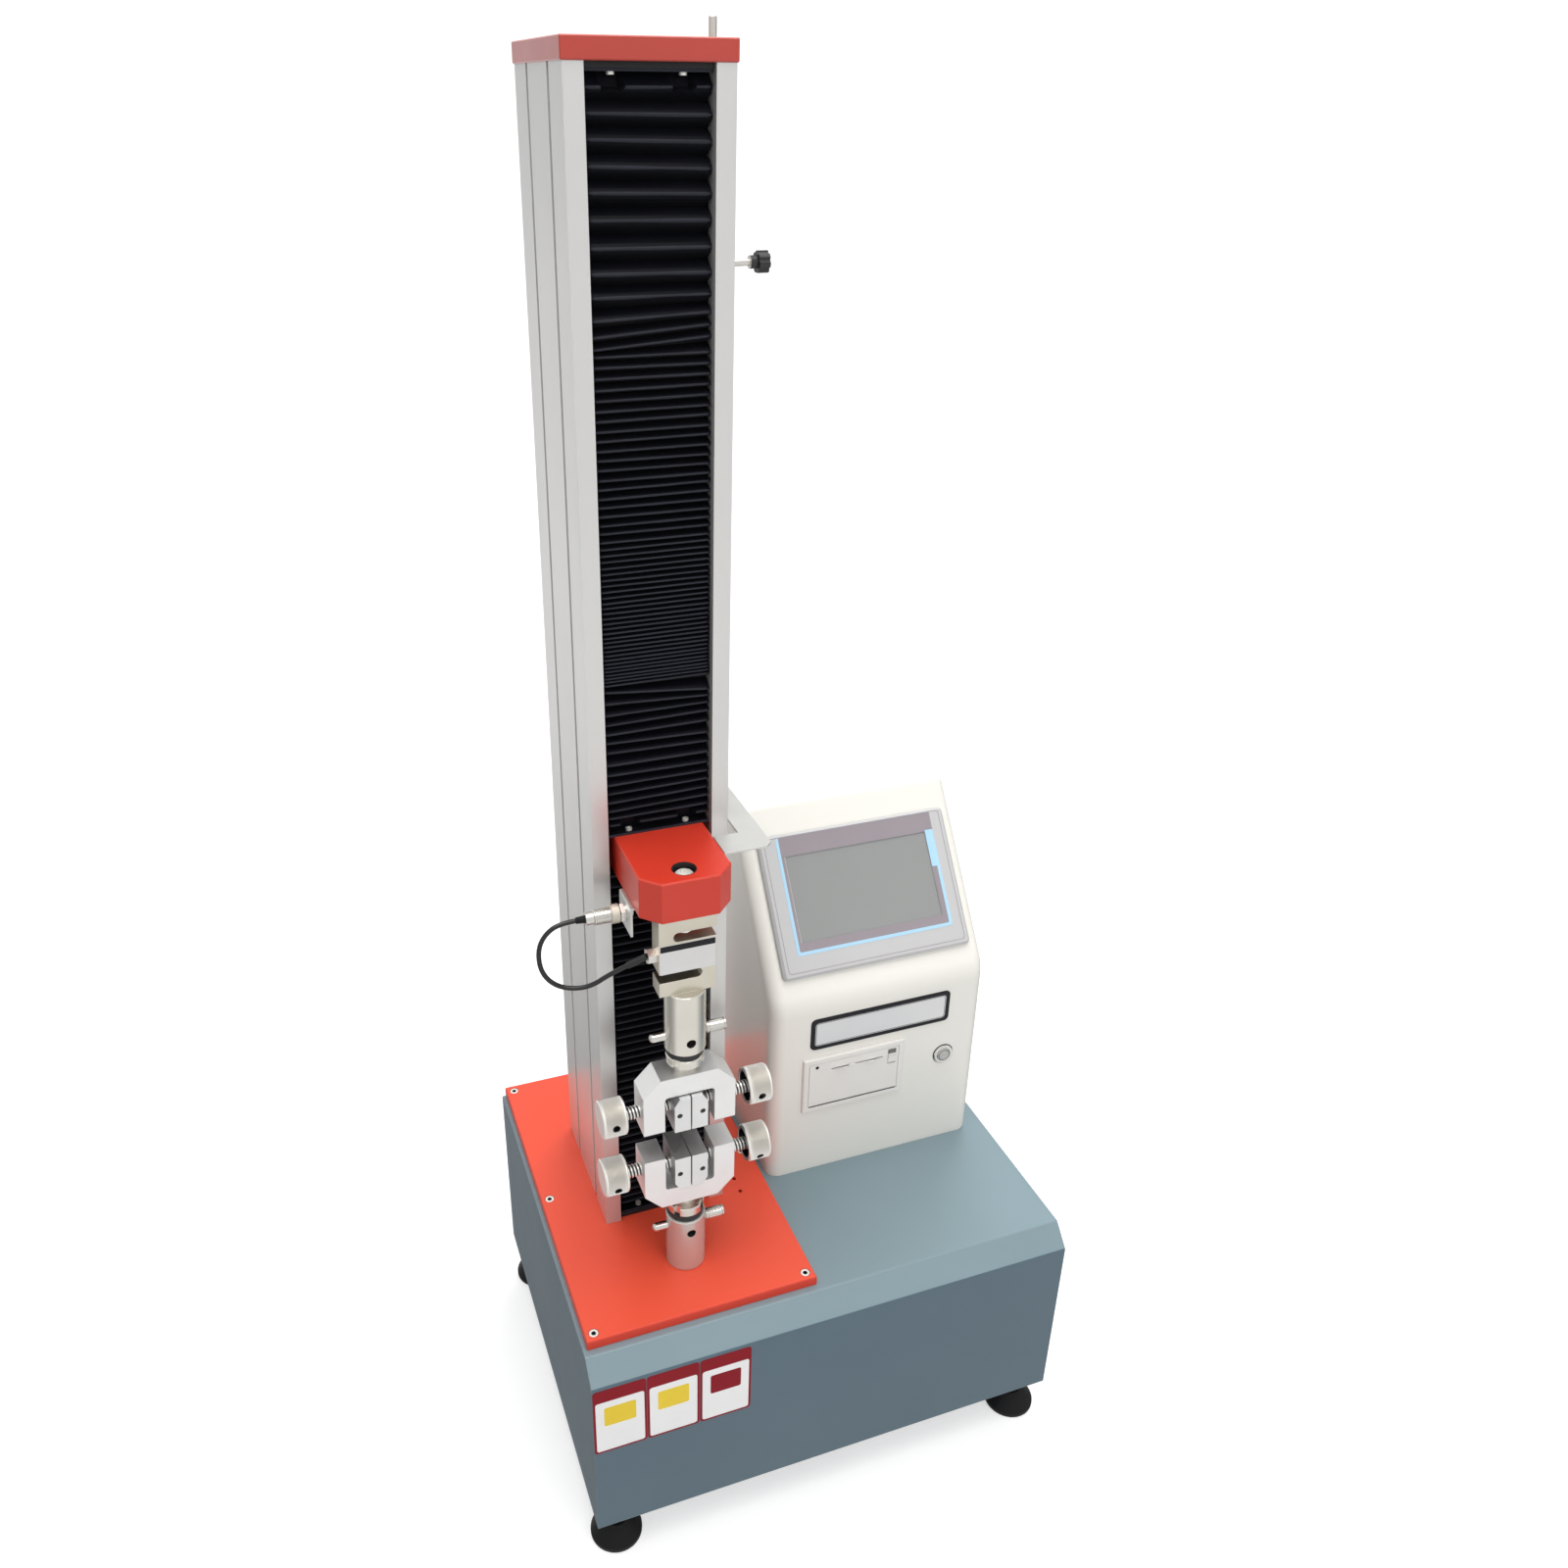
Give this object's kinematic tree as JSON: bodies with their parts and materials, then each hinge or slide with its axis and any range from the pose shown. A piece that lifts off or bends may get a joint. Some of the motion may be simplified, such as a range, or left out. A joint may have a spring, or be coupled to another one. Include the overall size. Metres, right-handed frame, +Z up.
{
  "type": "universal testing machine",
  "caption": "Bench tensile tester with a bellows-covered column, screw-driven crosshead, load cell, screw-action grips and a sloping touch-screen console.",
  "frame": {"origin": "middle of the cabinet's footprint on the bench", "axes": "+X right along the front edge, +Y from front to back, +Z up"},
  "size_m": [0.4915, 0.3882, 1.3185],
  "materials": {
    "blue_grey_paint": "fine satin powder coat",
    "red_paint": "satin powder coat",
    "dark_red_paint": "satin paint",
    "anodised": "satin anodised",
    "machined": "bead blasted and anodised",
    "steel": "turned and nickel plated",
    "sheet_steel": "brushed",
    "nickel": "matt nickel plated",
    "dark_steel": "oiled",
    "black_metal": "black oxide",
    "black_rubber": "matt",
    "bellows_cloth": "coated cloth, slightly shiny",
    "black_plastic": "fine grain",
    "cream_shell": "smooth semi-gloss",
    "cream_plastic": "fine grain",
    "grey_plastic": "smooth",
    "screen": "matt anti-glare"
  },
  "bodies": {
    "frame": {"cabinet_shell": "blue_grey_paint", "cabinet_base": "blue_grey_paint", "levelling_feet": "black_rubber", "table_plate": "red_paint", "frame_screws": "steel", "column_profiles": "anodised", "column_back_plate": "anodised", "bearing_blocks": "machined", "guide_rods": "steel", "column_cap": "red_paint", "drive_belt": "black_rubber", "drive_motor": "black_metal", "upper_bellows": "bellows_cloth", "lower_bellows": "bellows_cloth", "lower_socket": "steel", "lower_shank": "steel", "rod_guides": "dark_red_paint", "console_shell": "cream_shell", "hmi_bezel": "grey_plastic", "hmi_screen": "screen", "printer_housing": "cream_plastic", "button_ring": "steel", "power_inlet": "black_plastic", "lower_grip_body": "machined"},
    "crosshead": {"carriage": "black_metal", "carriage_bearings": "steel", "crosshead_block": "red_paint", "crosshead_screws": "steel", "crosshead_brackets": "sheet_steel", "load_cell": "nickel", "connector_socket": "steel", "connector_plug": "steel", "load_cell_cord": "black_rubber", "cord_gland": "steel", "upper_socket": "steel", "upper_shank": "steel", "upper_grip_body": "machined"},
    "screw_drive": {"ball_screw": "steel"},
    "motor_rotor": {"motor_pulley": "machined"},
    "connector_ring": {"connector_ring": "nickel"},
    "upper_lock_ring": {"upper_lock_ring": "steel"},
    "lower_lock_ring": {"lower_lock_ring": "steel"},
    "upper_pin": {"upper_pin": "steel"},
    "lower_pin": {"lower_pin": "steel"},
    "limit_rod": {"limit_rod": "steel"},
    "upper_stop": {"upper_stop": "dark_red_paint"},
    "upper_stop_knob": {"upper_stop_knob": "black_plastic"},
    "lower_stop": {"lower_stop": "dark_red_paint"},
    "printer_door": {"printer_door": "cream_plastic"},
    "printer_latch": {"printer_latch": "cream_plastic"},
    "push_button": {"push_button": "steel"},
    "rocker_switch": {"rocker_switch": "black_plastic"},
    "upper_left_jaw": {"upper_left_jaw": "dark_steel"},
    "upper_right_jaw": {"upper_right_jaw": "dark_steel"},
    "lower_left_jaw": {"lower_left_jaw": "dark_steel"},
    "lower_right_jaw": {"lower_right_jaw": "dark_steel"},
    "upper_left_knob": {"upper_left_knob": "nickel"},
    "upper_right_knob": {"upper_right_knob": "nickel"},
    "lower_left_knob": {"lower_left_knob": "nickel"},
    "lower_right_knob": {"lower_right_knob": "nickel"}
  },
  "joints": [
    {"name": "screw_turn", "type": "hinge", "parent": "frame", "child": "screw_drive", "pos_m": [-0.125, 0.034, 0.7], "axis": [0, 0, -1], "range_deg": [0, 31681]},
    {"name": "motor_turn", "type": "hinge", "parent": "frame", "child": "motor_rotor", "pos_m": [-0.004, 0.034, 0.155], "axis": [0, 0, -1], "range_deg": [0, 63361]},
    {"name": "crosshead_slide", "type": "slide", "parent": "frame", "child": "crosshead", "axis": [0, 0, 1], "range_m": [0, 0.44], "deforming": ["upper_bellows", "lower_bellows"]},
    {"name": "connector_ring_turn", "type": "hinge", "parent": "crosshead", "child": "connector_ring", "pos_m": [-0.177, -0.072, 0.65], "axis": [-1, 0, 0], "range_deg": [0, 540]},
    {"name": "upper_lock_ring_turn", "type": "hinge", "parent": "crosshead", "child": "upper_lock_ring", "pos_m": [-0.125, -0.101, 0.5103], "axis": [0, 0, 1], "range_deg": [0, 360]},
    {"name": "lower_lock_ring_turn", "type": "hinge", "parent": "frame", "child": "lower_lock_ring", "pos_m": [-0.125, -0.101, 0.3375], "axis": [0, 0, 1], "range_deg": [0, 360]},
    {"name": "upper_pin_slide", "type": "slide", "parent": "crosshead", "child": "upper_pin", "axis": [1, 0, 0], "range_m": [0, 0.05]},
    {"name": "lower_pin_slide", "type": "slide", "parent": "frame", "child": "lower_pin", "axis": [1, 0, 0], "range_m": [0, 0.05]},
    {"name": "limit_rod_slide", "type": "slide", "parent": "frame", "child": "limit_rod", "axis": [0, 0, 1], "range_m": [-0.003, 0.003], "stiffness_N_per_m": 3000, "springref_m": 0.0011},
    {"name": "upper_stop_slide", "type": "slide", "parent": "limit_rod", "child": "upper_stop", "axis": [0, 0, 1], "range_m": [-0.4, 0.05]},
    {"name": "upper_stop_knob_turn", "type": "hinge", "parent": "upper_stop", "child": "upper_stop_knob", "pos_m": [-0.03, 0.033, 1.15185], "axis": [1, 0, 0], "range_deg": [0, 360]},
    {"name": "lower_stop_slide", "type": "slide", "parent": "limit_rod", "child": "lower_stop", "axis": [0, 0, 1], "range_m": [-0.3, 0]},
    {"name": "printer_door_hinge", "type": "hinge", "parent": "frame", "child": "printer_door", "pos_m": [0.081, -0.0265, 0.3447], "axis": [1, 0, 0], "range_deg": [0, 85]},
    {"name": "printer_latch_slide", "type": "slide", "parent": "printer_door", "child": "printer_latch", "axis": [0, 0, -1], "range_m": [0, 0.0025], "stiffness_N_per_m": 200},
    {"name": "push_button_press", "type": "slide", "parent": "frame", "child": "push_button", "axis": [0, 1, 0], "range_m": [0, 0.0025], "stiffness_N_per_m": 800},
    {"name": "rocker_switch_tilt", "type": "hinge", "parent": "frame", "child": "rocker_switch", "pos_m": [0.12, 0.1845, 0.095], "axis": [1, 0, 0], "range_deg": [-20, 0]},
    {"name": "upper_left_jaw_slide", "type": "slide", "parent": "crosshead", "child": "upper_left_jaw", "axis": [-1, 0, 0], "range_m": [0, 0.0072]},
    {"name": "upper_left_knob_turn", "type": "hinge", "parent": "upper_left_jaw", "child": "upper_left_knob", "pos_m": [-0.195, -0.101, 0.4578], "axis": [-1, 0, 0], "range_deg": [0, 864]},
    {"name": "upper_right_jaw_slide", "type": "slide", "parent": "crosshead", "child": "upper_right_jaw", "axis": [1, 0, 0], "range_m": [0, 0.0072]},
    {"name": "upper_right_knob_turn", "type": "hinge", "parent": "upper_right_jaw", "child": "upper_right_knob", "pos_m": [-0.055, -0.101, 0.4578], "axis": [1, 0, 0], "range_deg": [0, 864]},
    {"name": "lower_left_jaw_slide", "type": "slide", "parent": "frame", "child": "lower_left_jaw", "axis": [-1, 0, 0], "range_m": [0, 0.0072]},
    {"name": "lower_left_knob_turn", "type": "hinge", "parent": "lower_left_jaw", "child": "lower_left_knob", "pos_m": [-0.195, -0.101, 0.39], "axis": [-1, 0, 0], "range_deg": [0, 864]},
    {"name": "lower_right_jaw_slide", "type": "slide", "parent": "frame", "child": "lower_right_jaw", "axis": [1, 0, 0], "range_m": [0, 0.0072]},
    {"name": "lower_right_knob_turn", "type": "hinge", "parent": "lower_right_jaw", "child": "lower_right_knob", "pos_m": [-0.055, -0.101, 0.39], "axis": [1, 0, 0], "range_deg": [0, 864]}
  ],
  "couplings": [
    {"joint": "screw_turn", "follows": "crosshead_slide", "rad_per_m": 1256.6},
    {"joint": "motor_turn", "follows": "crosshead_slide", "rad_per_m": 2513.3},
    {"joint": "upper_left_jaw_slide", "follows": "upper_left_knob_turn", "m_per_rad": 0.00047746},
    {"joint": "upper_right_jaw_slide", "follows": "upper_right_knob_turn", "m_per_rad": 0.00047746},
    {"joint": "lower_left_jaw_slide", "follows": "lower_left_knob_turn", "m_per_rad": 0.00047746},
    {"joint": "lower_right_jaw_slide", "follows": "lower_right_knob_turn", "m_per_rad": 0.00047746}
  ]
}
